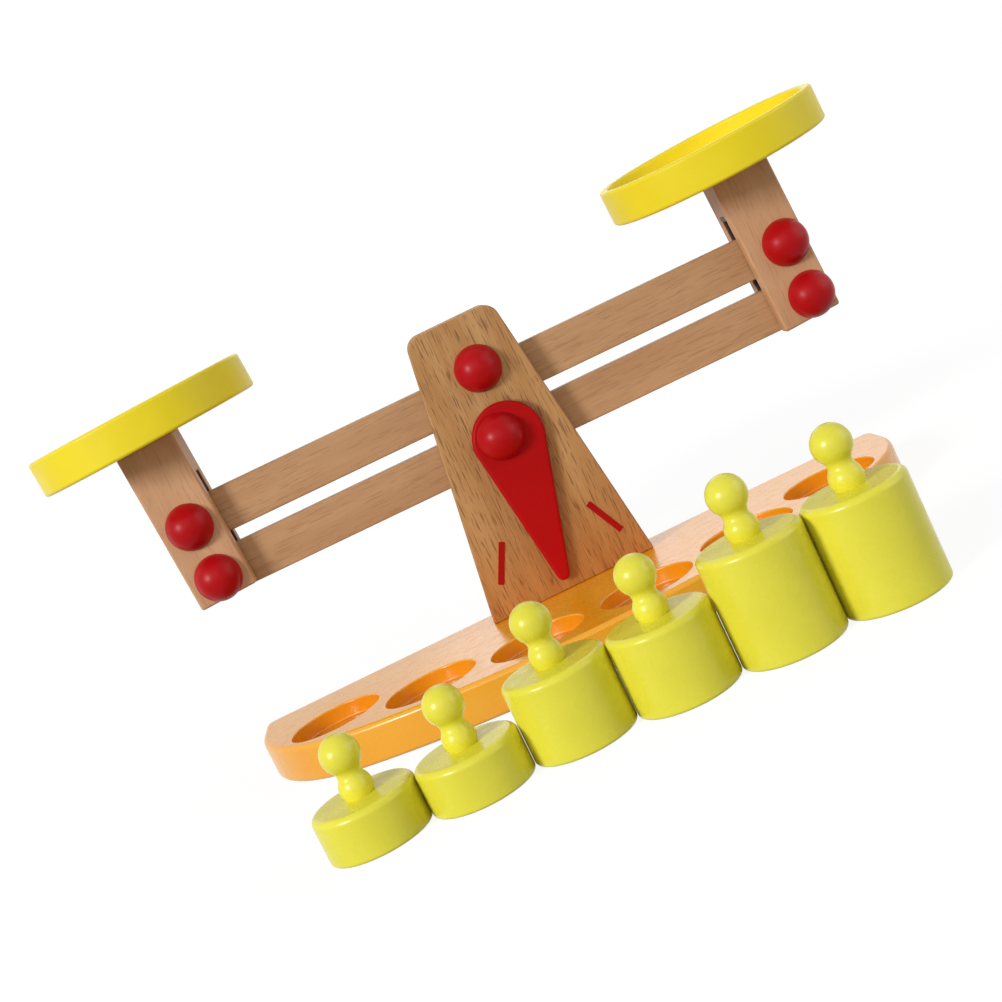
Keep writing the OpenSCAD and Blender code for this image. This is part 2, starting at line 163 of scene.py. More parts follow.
# Weights and their knobs
WEIGHT_TOP_R = 0.0026
WEIGHT_FOOT_R = 0.0012
BALL_R = 0.0076
BALL_H = 0.0163
BEAD_R = 0.0064
BEAD_H = 0.0034
NECK_R = 0.0034
PEG_R = 0.003
PEG_L = 0.010

# Steps in a full turn on the lathe
SOCKET_TURN = 72
SCREW_TURN = 32
BORE_TURN = 32
PAN_TURN = 144
CAP_TURN = 64
BODY_TURN = 128
KNOB_TURN = 64

# Steps in an arc or a rounded edge
BOW_STEPS = 24
FRONT_CORNER_STEPS = 18
BACK_CORNER_STEPS = 6
BASE_TOP_STEPS = 5
SOCKET_EDGE_STEPS = 4
BOARD_EDGE_STEPS = 4
PANEL_CORNER_STEPS = 8
TICK_CORNER_STEPS = 4
POINTER_HEAD_STEPS = 48
POINTER_TIP_STEPS = 12
POINTER_EDGE_STEPS = 6
PAN_EDGE_STEPS = 5
DOME_STEPS = 24
WEIGHT_FOOT_STEPS = 5
WEIGHT_TOP_STEPS = 8
BEAD_STEPS = 20
NECK_STEPS = 8
BALL_STEPS = 28

# Angles, tolerances and the weight of large faces in the shading
QUARTER = math.pi / 2
SHARP_EDGE = math.radians(30)
SHARP_SHADING = math.radians(40)
SQUARE_ON = 0.9999
SAME_PLACE = 1e-6
SAME_HEIGHT = 1e-5
EVEN_WEIGHT = 100


# Workshop tools

class Pencil:
    """Draws one outline of straight stretches and arcs in the plane of two axes."""

    def __init__(self, start, across=X, up=Z, origin=(0, 0, 0)):
        self.bm = bmesh.new()
        self.across = across
        self.up = up
        self.origin = Vector(origin)
        self.first = self.bm.verts.new(self.point(start))
        self.tip = self.first

    def point(self, at):
        return self.origin + self.across * at[0] + self.up * at[1]

    def line(self, *stops):
        for stop in stops:
            last = self.tip
            self.tip = self.bm.verts.new(self.point(stop))
            self.bm.edges.new((last, self.tip))

    def arc(self, centre, angle, steps):
        """Goes on round a centre. A positive angle turns from the first axis to the second."""
        axis = self.across.cross(self.up)
        spun = bmesh.ops.spin(self.bm, geom=[self.tip], cent=self.point(centre), axis=axis,
                              angle=angle, steps=steps)
        self.tip = next(part for part in spun["geom_last"] if isinstance(part, bmesh.types.BMVert))

    def close(self):
        self.bm.edges.new((self.tip, self.first))


def merged(bm):
    """Joins the points that lie in one place, and turns all faces outwards."""
    bmesh.ops.remove_doubles(bm, verts=bm.verts, dist=SAME_PLACE)
    bmesh.ops.recalc_face_normals(bm, faces=bm.faces)
    return bm


def turned(pen, steps):
    """Turns a drawn half section round the Z axis, as on a lathe."""
    bm = pen.bm
    bmesh.ops.spin(bm, geom=bm.verts[:] + bm.edges[:], cent=(0, 0, 0), axis=Z, angle=math.tau,
                   steps=steps, use_merge=True)
    return merged(bm)


def sawn(bm, thickness):
    """Saws a board of a closed outline: the outline filled, and pushed out by the thickness."""
    face = bmesh.ops.contextual_create(bm, geom=bm.edges[:])["faces"][0]
    grown = bmesh.ops.extrude_face_region(bm, geom=[face])["geom"]
    verts = [part for part in grown if isinstance(part, bmesh.types.BMVert)]
    bmesh.ops.translate(bm, vec=thickness, verts=verts)
    return merged(bm)


def rounded(bm, radius, steps, where=lambda edge: True):
    """Rounds the sharp edges of a board, or those of them that a test picks."""
    sharp = [edge for edge in bm.edges if edge.calc_face_angle() > SHARP_EDGE and where(edge)]
    bmesh.ops.bevel(bm, geom=sharp, offset=radius, offset_type="OFFSET", affect="EDGES",
                    segments=steps, profile=0.5, material=-1, clamp_overlap=True)
    return bm


def flat_faces(bm, axis):
    """The faces that lie square to an axis, in order along it."""
    found = [face for face in bm.faces if abs(face.normal.dot(axis)) > SQUARE_ON]
    return sorted(found, key=lambda face: face.calc_center_median().dot(axis))


def drilled(bm, places, radius):
    """Bores holes along Y through each wall of a board, one wall between each two flat faces."""
    lying = Matrix.Rotation(QUARTER, 4, "X")
    bores = []
    for number, face in enumerate(flat_faces(bm, Y)):
        rim = face.edges[:]
        depth = face.calc_center_median().y
        bmesh.ops.delete(bm, geom=[face], context="FACES_ONLY")
        for place in places:
            middle = Matrix.Translation((place[0], depth, place[1])) @ lying
            ring = bmesh.ops.create_circle(bm, segments=BORE_TURN, radius=radius, matrix=middle)
            edges = list(dict.fromkeys(edge for vert in ring["verts"] for edge in vert.link_edges))
            rim += edges
            bores.append((number // 2, place, edges))
        bmesh.ops.triangle_fill(bm, use_beauty=True, edges=rim, normal=Y)
    for wall, place, edges in bores:
        if edges[0].is_boundary:
            near, far = [ring for *bore, ring in bores if bore == [wall, place]]
            bmesh.ops.bridge_loops(bm, edges=near + far)
    return merged(bm)


def joined(bm, other):
    """Adds another mesh to this one."""
    carrier = bpy.data.meshes.new("carrier")
    other.to_mesh(carrier)
    other.free()
    bm.from_mesh(carrier)
    bpy.data.meshes.remove(carrier)


def placed(bm, matrix):
    bmesh.ops.transform(bm, matrix=matrix, verts=bm.verts)
    return bm


def leaned(place, angle):
    """A place in the frame, turned about the Y axis."""
    return Matrix.Translation(place) @ Matrix.Rotation(angle, 4, "Y")


def hand_over(bm, node, finish):
    """Makes the finished piece of a mesh, in place of its plain node and on the same body."""
    mesh = bpy.data.meshes.new(f"{node}_finished")
    bm.to_mesh(mesh)
    bm.free()
    mesh.shade_smooth()
    mesh.set_sharp_from_angle(angle=SHARP_SHADING)
    mesh.materials.append(finish)
    piece = bpy.data.objects.new(f"{node}_finished", mesh)
    bpy.context.scene.collection.objects.link(piece)
    evened = piece.modifiers.new("even_shading", "WEIGHTED_NORMAL")
    evened.weight = EVEN_WEIGHT
    evened.keep_sharp = True
    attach(piece, frame["nodes"][node]["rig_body"])
    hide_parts(node)


# Finishes

# Beech: its noises, how each is drawn out along the grain, and what a range of each becomes
BANDS = {"Scale": 90.0, "Detail": 3.0, "Roughness": 0.55, "Distortion": 0.6}
FIBRES = {"Scale": 1500.0, "Detail": 5.0, "Roughness": 0.65, "Distortion": 0.2}
FLECKS = {"Scale": 1450.0, "Detail": 2.0, "Roughness": 0.5, "Distortion": 0.4}
BANDS_ALONG = 0.12
FIBRES_ALONG = 0.03
FLECKS_ALONG = 0.062
BANDS_TO_BROWN = (0.30, 0.70, 0.0, 1.0)
FIBRES_TO_BROWN = (0.42, 0.72, 0.0, 0.5)
FLECKS_FROM = (0.55, 0.65, 0.0)
FLECKS_SUNK = (0.56, 0.70, 0.0, -0.8)
FIBRES_TO_ROUGHNESS = (0.3, 0.7, 0.46, 0.60)
WOOD_RELIEF = {"Strength": 0.25, "Distance": 0.0002}
WOOD_SHINE = 0.35
# How far up the panel the painted orange bounce light from the base reaches
BOUNCE_REACH = 0.040

# Lacquer: the same for a coat that pools, follows the fibres below it and waves a little
POOLS = {"Scale": 45.0, "Detail": 3.0, "Roughness": 0.5}
COATED_FIBRES = {"Scale": 700.0, "Detail": 4.0, "Roughness": 0.6}
WAVES = {"Scale": 180.0, "Detail": 1.0, "Roughness": 0.4}
COATED_ALONG = 0.06
POOLS_TO_DEEP = (0.35, 0.70, 0.0, 0.5)
COATED_TO_DEEP = (0.50, 0.80, 0.0, 0.14)
COATED_RAISED = (0.0, 1.0, 0.0, 0.35)
WAVES_FROM = (0.3, 0.7)
GLOSS_SPREAD = 0.08
COAT_RELIEF = {"Strength": 0.05, "Distance": 0.0004}

# Zinc
CLOUDS = {"Scale": 900.0, "Detail": 3.0, "Roughness": 0.6}
CLOUDS_TO_ROUGHNESS = (0.3, 0.7, 0.26, 0.42)

# Sockets of the mix node for colours
MIX_SHARE = 0
MIX_FIRST = 6
MIX_SECOND = 7
MIX_RESULT = 2


def linear(red, green, blue):
    """A colour given in steps of 0 to 255, as light values by the usual curve for screens."""
    steps = [channel / 255 for channel in (red, green, blue)]
    light = [s / 12.92 if s <= 0.04045 else ((s + 0.055) / 1.055) ** 2.4 for s in steps]
    return (*light, 1.0)


class Recipe:
    """One material's nodes."""

    def __init__(self, name):
        self.material = bpy.data.materials.new(name)
        self.material.use_nodes = True
        self.tree = self.material.node_tree
        self.shader = self.tree.nodes["Principled BSDF"]
        self.place = self.add("ShaderNodeTexCoord").outputs["Object"]

    def add(self, kind, inputs=None, **settings):
        node = self.tree.nodes.new(kind)
        for name, value in settings.items():
            setattr(node, name, value)
        self.fill(node, inputs or {})
        return node

    def fill(self, node, inputs):
        for name, value in inputs.items():
            if isinstance(value, bpy.types.NodeSocket):
                self.tree.links.new(value, node.inputs[name])
            else:
                node.inputs[name].default_value = value

    def height(self):
        return self.add("ShaderNodeSeparateXYZ", {"Vector": self.place}).outputs["Z"]

    def drawn_out(self, grain, share):
        """The place, with the pattern drawn out along the grain: the smaller the share, the longer."""
        scale = [share if axis is grain else 1.0 for axis in (X, Y, Z)]
        return self.add("ShaderNodeMapping", {"Vector": self.place, "Scale": scale}).outputs["Vector"]

    def noise(self, vector, pattern):
        return self.add("ShaderNodeTexNoise", {"Vector": vector, **pattern}).outputs["Fac"]

    def ranged(self, value, low, high, to_low, to_high):
        inputs = {"Value": value, "From Min": low, "From Max": high, "To Min": to_low, "To Max": to_high}
        return self.add("ShaderNodeMapRange", inputs).outputs["Result"]

    def reckoned(self, operation, first, second):
        return self.add("ShaderNodeMath", {0: first, 1: second}, operation=operation).outputs[0]

    def blended(self, share, first, second, way="MIX"):
        inputs = {MIX_SHARE: share, MIX_FIRST: first, MIX_SECOND: second}
        node = self.add("ShaderNodeMix", inputs, data_type="RGBA", blend_type=way)
        return node.outputs[MIX_RESULT]

    def bumped(self, height, relief):
        return self.add("ShaderNodeBump", {"Height": height, **relief}).outputs["Normal"]

    def in_slot(self, top):
        """1 on the faces of the slot that a beam runs in, where shade is painted: near the middle plane,
        below the slot's top.
        """
        at = self.add("ShaderNodeSeparateXYZ", {"Vector": self.place}).outputs
        depth = self.add("ShaderNodeMath", {0: at["Y"]}, operation="ABSOLUTE").outputs[0]
        inside = self.reckoned("LESS_THAN", depth, SLOT_Y + SLOT_EDGE)
        below = self.reckoned("LESS_THAN", at["Z"], top + SLOT_EDGE)
        return self.reckoned("MULTIPLY", inside, below)

    def near_foot(self, foot):
        """1 at the height of the foot, down to 0 at the reach of the painted bounce light above it."""
        return self.ranged(self.height(), foot, foot + BOUNCE_REACH, 1.0, 0.0)

    def in_sockets(self):
        """1 on the walls and floors of the sockets, below their rounded rims, where shade is painted."""
        inputs = {0: self.place, 1: (1, 1, 0)}
        flat = self.add("ShaderNodeVectorMath", inputs, operation="MULTIPLY").outputs[0]
        inside = 0.0
        for middle in SOCKET_MIDDLES:
            inputs = {0: flat, 1: middle}
            away = self.add("ShaderNodeVectorMath", inputs, operation="DISTANCE").outputs["Value"]
            near = self.reckoned("LESS_THAN", away, SOCKET_R + SOCKET_RIM_R)
            inside = self.reckoned("ADD", inside, near)
        below = self.ranged(self.height(), BASE_HI.z - SOCKET_RIM_R, BASE_HI.z, 1.0, 0.0)
        return self.reckoned("MULTIPLY", inside, below)

    def finished(self, inputs):
        self.fill(self.shader, inputs)
        return self.material


def beech(name, grain, pale, brown, fleck, fleck_share, slot_top=None, bounce_lit_foot=None):
    """Oiled beech: slow bands, fine fibres and short dark flecks along the grain.

    A slot below slot_top gets painted shade, and the wood just above the foot gets painted orange bounce
    light from the base.
    """
    wood = Recipe(name)
    bands = wood.noise(wood.drawn_out(grain, BANDS_ALONG), BANDS)
    fibres = wood.noise(wood.drawn_out(grain, FIBRES_ALONG), FIBRES)
    flecks = wood.noise(wood.drawn_out(grain, FLECKS_ALONG), FLECKS)
    tone = wood.blended(wood.ranged(bands, *BANDS_TO_BROWN), pale, brown)
    tone = wood.blended(wood.ranged(fibres, *FIBRES_TO_BROWN), tone, brown)
    tone = wood.blended(wood.ranged(flecks, *FLECKS_FROM, fleck_share), tone, fleck)
    if slot_top:
        # Painted shade on the faces of the slot
        tone = wood.blended(wood.in_slot(slot_top), tone, SLOT_SHADE)
    if bounce_lit_foot:
        # Painted orange bounce light from the base, warming the foot of the panel
        tone = wood.blended(wood.near_foot(bounce_lit_foot), tone, PAINTED_BOUNCE, "MULTIPLY")
    relief = wood.reckoned("ADD", fibres, wood.ranged(flecks, *FLECKS_SUNK))
    return wood.finished({
        "Base Color": tone,
        "Roughness": wood.ranged(fibres, *FIBRES_TO_ROUGHNESS),
        "Normal": wood.bumped(relief, WOOD_RELIEF),
        "Specular IOR Level": WOOD_SHINE})


def lacquer(name, colour, deep, gloss, shine, grain=Z, shaded_sockets=False):
    """Coloured lacquer on wood: an even coat that pools a little and lets the grain stand out faintly."""
    coat = Recipe(name)
    pools = coat.noise(coat.place, POOLS)
    fibres = coat.noise(coat.drawn_out(grain, COATED_ALONG), COATED_FIBRES)
    waves = coat.noise(coat.place, WAVES)
    tone = coat.blended(coat.ranged(pools, *POOLS_TO_DEEP), colour, deep)
    tone = coat.blended(coat.ranged(fibres, *COATED_TO_DEEP), tone, deep)
    # Painted shade on the walls and floors of the sockets
    if shaded_sockets:
        tone = coat.blended(coat.in_sockets(), tone, SOCKET_SHADE, "MULTIPLY")
    relief = coat.reckoned("ADD", coat.ranged(fibres, *COATED_RAISED), waves)
    return coat.finished({
        "Base Color": tone,
        "Roughness": coat.ranged(waves, *WAVES_FROM, gloss, gloss + GLOSS_SPREAD),
        "Normal": coat.bumped(relief, COAT_RELIEF),
        "Specular IOR Level": shine})


def zinc(name, bright, dull):
    """Bright zinc plating, a little cloudy."""
    metal = Recipe(name)
    clouds = metal.noise(metal.place, CLOUDS)
    return metal.finished({
        "Base Color": metal.blended(clouds, bright, dull),
        "Metallic": 1.0,
        "Roughness": metal.ranged(clouds, *CLOUDS_TO_ROUGHNESS)})


# Painted shade in the posts' slots
SLOT_SHADE = linear(74, 44, 28)
# Painted orange bounce light from the base on the panel's foot
PAINTED_BOUNCE = linear(248, 214, 164)
# Painted shade in the base's sockets
SOCKET_SHADE = linear(238, 219, 176)
PANEL_BEECH = beech(
    "panel_beech", grain=Z, pale=linear(197, 152, 99), brown=linear(172, 122, 69),
    fleck=linear(108, 69, 38), fleck_share=0.72, bounce_lit_foot=PANEL_LO.z)
POST_BEECH = beech(
    "post_beech", grain=Z, pale=linear(208, 162, 122), brown=linear(194, 146, 106),
    fleck=linear(150, 102, 70), fleck_share=0.28, slot_top=LOWER_PIN["left"].z + POST_SLOT_TOP)
BEAM_BEECH = beech(
    "beam_beech", grain=X, pale=linear(197, 154, 112), brown=linear(179, 135, 94),
    fleck=linear(142, 98, 64), fleck_share=0.35)
PIN_BEECH = beech(
    "pin_beech", grain=Y, pale=linear(208, 168, 128), brown=linear(190, 146, 106),
    fleck=linear(156, 112, 78), fleck_share=0.3)
ORANGE = lacquer(
    "orange_lacquer", colour=linear(246, 172, 26), deep=linear(240, 155, 16), gloss=0.22, shine=0.6,
    grain=X, shaded_sockets=True)
YELLOW = lacquer(
    "yellow_lacquer", colour=linear(243, 221, 44), deep=linear(234, 208, 31), gloss=0.32, shine=0.18,
    grain=Y)
LIME = lacquer(
    "lime_lacquer", colour=linear(233, 225, 67), deep=linear(220, 211, 50), gloss=0.24, shine=0.4)
RED = lacquer(
    "red_lacquer", colour=linear(180, 12, 20), deep=linear(168, 6, 13), gloss=0.30, shine=0.15)
MATT_RED = lacquer(
    "matt_red_lacquer", colour=linear(177, 6, 9), deep=linear(165, 3, 6), gloss=0.45, shine=0.12)
MARK_RED = lacquer(
    "mark_red_paint", colour=linear(166, 10, 8), deep=linear(150, 6, 5), gloss=0.50, shine=0.12)
ZINC = zinc("zinc_steel", bright=linear(196, 198, 202), dull=linear(150, 154, 160))


# Stand

def socket(place):
    """The hollow of one socket, with its rim rounded over onto the top."""
    top = BASE_HI.z
    floor_z = top - SOCKET_DEPTH
    pen = Pencil((0, floor_z))
    pen.line((SOCKET_R - SOCKET_FLOOR_R, floor_z))
    pen.arc((SOCKET_R - SOCKET_FLOOR_R, floor_z + SOCKET_FLOOR_R), QUARTER, SOCKET_EDGE_STEPS)
    pen.line((SOCKET_R, top - SOCKET_RIM_R))
    pen.arc((SOCKET_R + SOCKET_RIM_R, top - SOCKET_RIM_R), -QUARTER, SOCKET_EDGE_STEPS)
    return placed(turned(pen, SOCKET_TURN), Matrix.Translation(place))


def screw_hole(place):
    """One countersunk hole in the underside of the base."""
    shank_z = SCREW_SINK + SCREW_HEAD_R - SCREW_SHANK_R
    depth = BASE_HI.z - BASE_TOP_R
    pen = Pencil((SCREW_HEAD_R, 0))
    pen.line((SCREW_HEAD_R, SCREW_SINK), (SCREW_SHANK_R, shank_z), (SCREW_SHANK_R, depth), (0, depth))
    return placed(turned(pen, SCREW_TURN), Matrix.Translation(place))


def base_board():
    """The board with a bowed front, a straight back, six sockets and two screw holes."""
    lo, hi = BASE_LO, BASE_HI
    half = hi.x
    bow_y = lo.y + BOW_R
    corner_reach = BOW_R - FRONT_CORNER_R
    corner_x = half - FRONT_CORNER_R
    corner_y = bow_y - math.sqrt(corner_reach ** 2 - corner_x ** 2)
    sweep = math.asin(corner_x / corner_reach)
    pen = Pencil((0, lo.y), X, Y)
    pen.arc((0, bow_y), sweep, BOW_STEPS)
    pen.arc((corner_x, corner_y), QUARTER - sweep, FRONT_CORNER_STEPS)
    pen.line((half, hi.y - BACK_CORNER_R))
    pen.arc((half - BACK_CORNER_R, hi.y - BACK_CORNER_R), QUARTER, BACK_CORNER_STEPS)
    pen.line((0, hi.y))
    bm = pen.bm
    bmesh.ops.mirror(bm, geom=bm.verts[:] + bm.edges[:], axis="X", merge_dist=SAME_PLACE)
    sawn(bm, Z * hi.z)
    middle = hi.z / 2
    rounded(bm, BASE_TOP_R, BASE_TOP_STEPS, lambda edge: min(vert.co.z for vert in edge.verts) > middle)
    floor_z = lo.z + SAME_PLACE
    rounded(bm, BASE_FOOT_R, BOARD_EDGE_STEPS,
            lambda edge: max(vert.co.z for vert in edge.verts) < floor_z)
    bottom, top = flat_faces(bm, Z)
    bmesh.ops.delete(bm, geom=[bottom, top], context="FACES_ONLY")
    for place in SOCKET_MIDDLES:
        joined(bm, socket(place))
    for sign in SIDES.values():
        joined(bm, screw_hole((sign * SCREW_PITCH / 2, 0, 0)))
    open_edges = [edge for edge in bm.edges if edge.is_boundary]
    for height, way in ((lo.z, -Z), (hi.z, Z)):
        rims = [edge for edge in open_edges if abs(edge.verts[0].co.z - height) < SAME_HEIGHT]
        bmesh.ops.triangle_fill(bm, use_beauty=True, edges=rims, normal=way)
    return merged(bm)


def panel(node):
    """One tapered board of the upright, with its two upper corners rounded."""
    lo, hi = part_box(node)
    foot = (hi.x - lo.x) / 2
    taper = math.atan((foot - PANEL_TOP_W / 2) / (hi.z - lo.z))
    out, rise = PANEL_CORNER_R * math.cos(taper), PANEL_CORNER_R * math.sin(taper)
    arc_z = hi.z - PANEL_CORNER_R
    arc_x = foot - (arc_z - lo.z) * math.tan(taper) - PANEL_CORNER_R / math.cos(taper)
    turn = QUARTER - taper
    pen = Pencil((-foot, lo.z), origin=(0, lo.y, 0))
    pen.line((foot, lo.z), (arc_x + out, arc_z + rise))
    pen.arc((arc_x, arc_z), turn, PANEL_CORNER_STEPS)
    pen.line((-arc_x, hi.z))
    pen.arc((-arc_x, arc_z), turn, PANEL_CORNER_STEPS)
    pen.close()
    bm = rounded(sawn(pen.bm, Y * (hi.y - lo.y)), BOARD_EDGE_R, BOARD_EDGE_STEPS)
    return drilled(bm, [(PIVOT.x, PIVOT.z), (GUIDE.x, GUIDE.z)], BORE_R)


def tick(side):
    """One painted mark, as thick as its paint."""
    lo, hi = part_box(f"{side}_tick")
    half = TICK_W / 2
    near = -TICK_START[side]
    far = near - TICK_L
    pen = Pencil((-half, far))
    pen.line((half, far), (half, near), (-half, near))
    pen.close()
    bm = pen.bm
    bmesh.ops.contextual_create(bm, geom=bm.edges[:])
    bmesh.ops.bevel(bm, geom=bm.verts[:], offset=TICK_CORNER_R, affect="VERTICES",
                    segments=TICK_CORNER_STEPS, profile=0.5, material=-1)
    bmesh.ops.delete(bm, geom=bm.faces[:], context="FACES_ONLY")
    sawn(bm, Y * (hi.y - lo.y))
    return placed(bm, leaned((0, lo.y, PIVOT.z), -SIDES[side] * TICK_ANGLE))


# Beams and pointer

def beam(node):
    """A beam about the point it turns on; the upper one has a notch that straddles the guide pin."""
    lo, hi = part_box(node)
    end = ARM + BEAM_END
    low, high = -PIVOT_RISE - BEAM_H / 2, -PIVOT_RISE + BEAM_H / 2
    pen = Pencil((-end, low), origin=(0, lo.y, 0))
    pen.line((end, low), (end, high))
    turn_at = PIVOT
    bores = [(-ARM, -PIVOT_RISE), (ARM, -PIVOT_RISE)]
    if node == "upper_beam":
        turn_at = PIVOT + POST_RISE
        guide = Matrix.Rotation(-REST_TILT, 3, "Y") @ (GUIDE - turn_at)
        reach = math.hypot(guide.x, guide.z)
        room = PIN_R + GUIDE_PLAY
        half = 2 * reach * math.sin(SWING / 2) + room
        floor = reach * math.cos(SWING + math.atan2(abs(guide.x), guide.z)) - room
        notch_left, notch_right = guide.x - half, guide.x + half
        pen.line((notch_right, high), (notch_right, floor), (notch_left, floor), (notch_left, high))
    else:
        bores.append((0, 0))
    pen.line((-end, high))
    pen.close()
    bm = rounded(sawn(pen.bm, Y * (hi.y - lo.y)), BOARD_EDGE_R, BOARD_EDGE_STEPS)
    return placed(drilled(bm, bores, BORE_R), leaned(turn_at, REST_TILT))


def pointer():
    """Drop-shaped hand: a round head and a round tip with straight sides that touch both."""
    lo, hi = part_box("pointer")
    lean = math.asin((POINTER_HEAD_R - POINTER_TIP_R) / POINTER_REACH)
    run, drop = math.cos(lean), math.sin(lean)
    tip_x, tip_z = POINTER_TIP_R * run, -POINTER_REACH - POINTER_TIP_R * drop
    pen = Pencil((tip_x, tip_z))
    pen.line((POINTER_HEAD_R * run, -POINTER_HEAD_R * drop))
    pen.arc((0, 0), math.pi + 2 * lean, POINTER_HEAD_STEPS)
    pen.line((-tip_x, tip_z))
    pen.arc((0, -POINTER_REACH), math.pi - 2 * lean, POINTER_TIP_STEPS)
    bmesh.ops.remove_doubles(pen.bm, verts=pen.bm.verts, dist=SAME_PLACE)
    bm = rounded(sawn(pen.bm, Y * (hi.y - lo.y)), POINTER_EDGE_R, POINTER_EDGE_STEPS)
    placed(bm, leaned(POINTER_HEAD_AT, POINTER_SET))
    drilled(bm, [(0, 0)], BORE_R)
    return placed(bm, leaned((PIVOT.x, lo.y, PIVOT.z), REST_TILT))


# Posts, pans and caps

def post(side):
    """A forked post, its top sloped to the pan."""
    slope = FACE_Y * math.tan(PAN_TIP[side])
    origin = X * (POST_OFF[side] - POST_W / 2)
    pen = Pencil((-FACE_Y, -POST_FOOT), Y, Z, origin)
    pen.line((-SLOT_Y, -POST_FOOT), (-SLOT_Y, POST_SLOT_TOP))
    pen.line((SLOT_Y, POST_SLOT_TOP), (SLOT_Y, -POST_FOOT))
    pen.line((FACE_Y, -POST_FOOT), (FACE_Y, POST_TOP + slope), (-FACE_Y, POST_TOP - slope))
    pen.close()
    bm = rounded(sawn(pen.bm, X * POST_W), POST_EDGE_R, BOARD_EDGE_STEPS)
    drilled(bm, [(0, 0), (0, PIN_PITCH)], BORE_R)
    return placed(bm, leaned(LOWER_PIN[side], -POST_LEAN))


def pan(side):
    """A round tray with a raised wall, set on its post with a small tip to the front."""
    edge_r = PAN_EDGE_R
    inner_r = PAN_R - PAN_WALL
    pen = Pencil((0, 0))
    pen.line((PAN_R - edge_r, 0))
    pen.arc((PAN_R - edge_r, edge_r), QUARTER, PAN_EDGE_STEPS)
    pen.line((PAN_R, PAN_H - edge_r))
    pen.arc((PAN_R - edge_r, PAN_H - edge_r), QUARTER, PAN_EDGE_STEPS)
    pen.line((inner_r + edge_r, PAN_H))
    pen.arc((inner_r + edge_r, PAN_H - edge_r), QUARTER, PAN_EDGE_STEPS)
    pen.line((inner_r, PAN_FLOOR + edge_r))
    pen.arc((inner_r - edge_r, PAN_FLOOR + edge_r), -QUARTER, PAN_EDGE_STEPS)
    pen.line((0, PAN_FLOOR))
    shift = (POST_OFF[side] - SIDES[side] * PAN_INSET - PAN_LEFT, 0, POST_TOP)
    seat = Matrix.Translation(shift) @ Matrix.Rotation(PAN_TIP[side], 4, "X")
    return placed(turned(pen, PAN_TURN), leaned(LOWER_PIN[side], -POST_LEAN) @ seat)


def cap(node):
    """A domed cap that faces the front or the back, with a blind hole for its pin unless it is glued."""
    lo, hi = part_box(node)
    glued = node == "pointer_cap"
    front = glued or node.endswith("front_cap")
    dome_r = (CAP_R ** 2 + CAP_H ** 2) / (2 * CAP_H)
    dome_z = CAP_H - dome_r
    start = math.asin((CAP_EDGE_R - dome_z) / dome_r)
    pen = Pencil((0, 0 if glued else CAP_GRIP))
    if not glued:
        pen.line((PIN_R, CAP_GRIP), (PIN_R, 0))
    pen.line((CAP_R - CAP_EDGE_R, 0), (dome_r * math.cos(start), CAP_EDGE_R))
    pen.arc((0, dome_z), QUARTER - start, DOME_STEPS)
    seat = Matrix.Translation(((lo.x + hi.x) / 2, hi.y if front else lo.y, (lo.z + hi.z) / 2))
    facing = Matrix.Rotation(QUARTER if front else -QUARTER, 4, "X")
    return placed(turned(pen, CAP_TURN), seat @ facing)


# Weights

def weight_body(node):
    """A turned cylinder with rounded edges and a blind hole for the knob's peg."""
    lo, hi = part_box(node)
    radius, height = (hi.x - lo.x) / 2, hi.z - lo.z
    hole_r, hole_z = PEG_R + PIN_PLAY, height - PEG_L - PIN_PLAY
    pen = Pencil((0, 0))
    pen.line((radius - WEIGHT_FOOT_R, 0))
    pen.arc((radius - WEIGHT_FOOT_R, WEIGHT_FOOT_R), QUARTER, WEIGHT_FOOT_STEPS)
    pen.line((radius, height - WEIGHT_TOP_R))
    pen.arc((radius - WEIGHT_TOP_R, height - WEIGHT_TOP_R), QUARTER, WEIGHT_TOP_STEPS)
    pen.line((hole_r, height), (hole_r, hole_z), (0, hole_z))
    seat = Matrix.Translation(((lo.x + hi.x) / 2, (lo.y + hi.y) / 2, lo.z))
    return placed(turned(pen, BODY_TURN), seat)


def weight_knob(node):
    """A ball over a bead, with a round hollow that touches both, and the peg below."""
    lo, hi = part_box(node)
    gap = BALL_H - BEAD_H
    from_bead, from_ball = BEAD_R + NECK_R, BALL_R + NECK_R
    neck_up = (from_bead ** 2 - from_ball ** 2 + gap ** 2) / (2 * gap)
    neck = (math.sqrt(from_bead ** 2 - neck_up ** 2), BEAD_H + neck_up)
    bead_start = -math.asin(BEAD_H / BEAD_R)
    bead_end = math.atan2(neck_up, neck[0])
    ball_start = math.atan2(neck_up - gap, neck[0])
    pen = Pencil((0, -PEG_L))
    pen.line((PEG_R, -PEG_L), (PEG_R, 0), (BEAD_R * math.cos(bead_start), 0))
    pen.arc((0, BEAD_H), bead_end - bead_start, BEAD_STEPS)
    pen.arc(neck, ball_start - bead_end, NECK_STEPS)
    pen.arc((0, BALL_H), QUARTER - ball_start, BALL_STEPS)
    seat = Matrix.Translation(((lo.x + hi.x) / 2, (lo.y + hi.y) / 2, lo.z + PEG_L))
    return placed(turned(pen, KNOB_TURN), seat)


# All pieces

